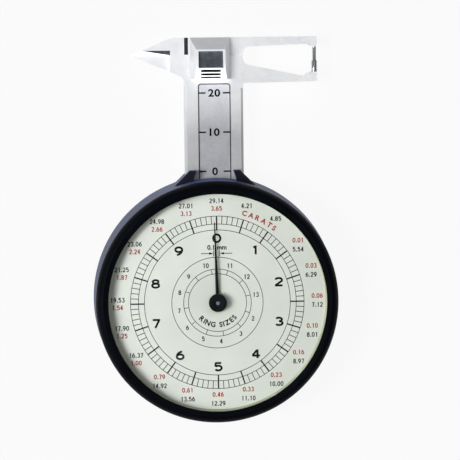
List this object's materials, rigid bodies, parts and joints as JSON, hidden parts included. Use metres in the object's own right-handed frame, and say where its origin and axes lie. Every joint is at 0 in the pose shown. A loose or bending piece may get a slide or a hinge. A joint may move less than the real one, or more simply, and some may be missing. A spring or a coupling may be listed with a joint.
{
  "type": "dial gauge",
  "caption": "Pocket dial gauge with a round case, a spring-returned slide with outside and crossing inside jaws, and a geared pointer over a printed dial.",
  "frame": {"origin": "on the pointer's axis, in the flat face of the rear cover", "axes": "+Z out of the dial, +Y along the stem towards the jaws, +X towards the outside jaws"},
  "size_m": [0.0628, 0.0982, 0.0164],
  "materials": {
    "case_plastic": "moulded, glossy black",
    "bezel_plastic": "glossy blue-black",
    "satin_steel": "satin ground",
    "bright_steel": "polished",
    "blued_steel": "heat blued",
    "spring_steel": "drawn, oiled",
    "brass": "turned and grained",
    "bush_bronze": "reamed bronze",
    "strip_metal": "matt, printed black",
    "insert_grey": "matt slate grey",
    "dial_enamel": "matt printed enamel",
    "spacer_olive": "matt olive grey",
    "pointer_black": "matt black",
    "crystal_acrylic": "clear, polished"
  },
  "bodies": {
    "case": {"rear_cover": "case_plastic", "case_shell": "case_plastic", "bezel": "bezel_plastic", "cover_screws": "bright_steel", "beam": "satin_steel", "contact_pin": "bright_steel", "beam_screws": "bright_steel", "travel_stop": "brass", "stop_screw": "blued_steel", "spring_post": "bright_steel", "return_spring": "spring_steel", "main_plate": "brass", "plate_screws": "blued_steel", "top_bridge": "brass", "bridge_pillars": "brass", "bridge_screws": "blued_steel", "lower_cock": "brass", "cock_pillars": "brass", "cock_screws": "blued_steel", "plate_bushes": "bush_bronze", "bridge_bushes": "bush_bronze", "cock_bush": "bush_bronze", "hairspring": "spring_steel", "hairspring_stud": "bright_steel", "dial_plate": "dial_enamel", "spacer_ring": "spacer_olive", "crystal": "crystal_acrylic"},
    "slide": {"slide": "satin_steel", "scale_strip": "strip_metal", "gib_left": "satin_steel", "gib_right": "satin_steel", "gib_screws": "bright_steel", "rack": "brass", "rack_screws": "blued_steel", "thumb_block": "satin_steel", "thumb_insert": "insert_grey", "block_screws": "bright_steel", "spring_pin": "bright_steel"},
    "pointer": {"centre_arbor": "bright_steel", "centre_pinion": "bright_steel", "hairspring_collet": "brass", "pointer": "pointer_black", "pointer_hub": "pointer_black"},
    "intermediate": {"intermediate_arbor": "bright_steel", "rack_pinion": "bright_steel", "drive_wheel": "brass"}
  },
  "joints": [
    {"name": "slide_travel", "type": "slide", "parent": "case", "child": "slide", "axis": [0, -1, 0], "range_m": [0, 0.022], "stiffness_N_per_m": 20, "springref_m": -0.03, "deforming": ["return_spring"]},
    {"name": "pointer_turn", "type": "hinge", "parent": "case", "child": "pointer", "pos_m": [0, 0, 0.009], "axis": [0, 0, 1], "range_deg": [-800, 5]},
    {"name": "intermediate_turn", "type": "hinge", "parent": "case", "child": "intermediate", "pos_m": [0.01122, 0.0008, 0.0076], "axis": [0, 0, 1], "range_deg": [-5, 400]}
  ],
  "couplings": [
    {"joint": "pointer_turn", "follows": "slide_travel", "rad_per_m": -628.32},
    {"joint": "intermediate_turn", "follows": "slide_travel", "rad_per_m": 314.16}
  ]
}
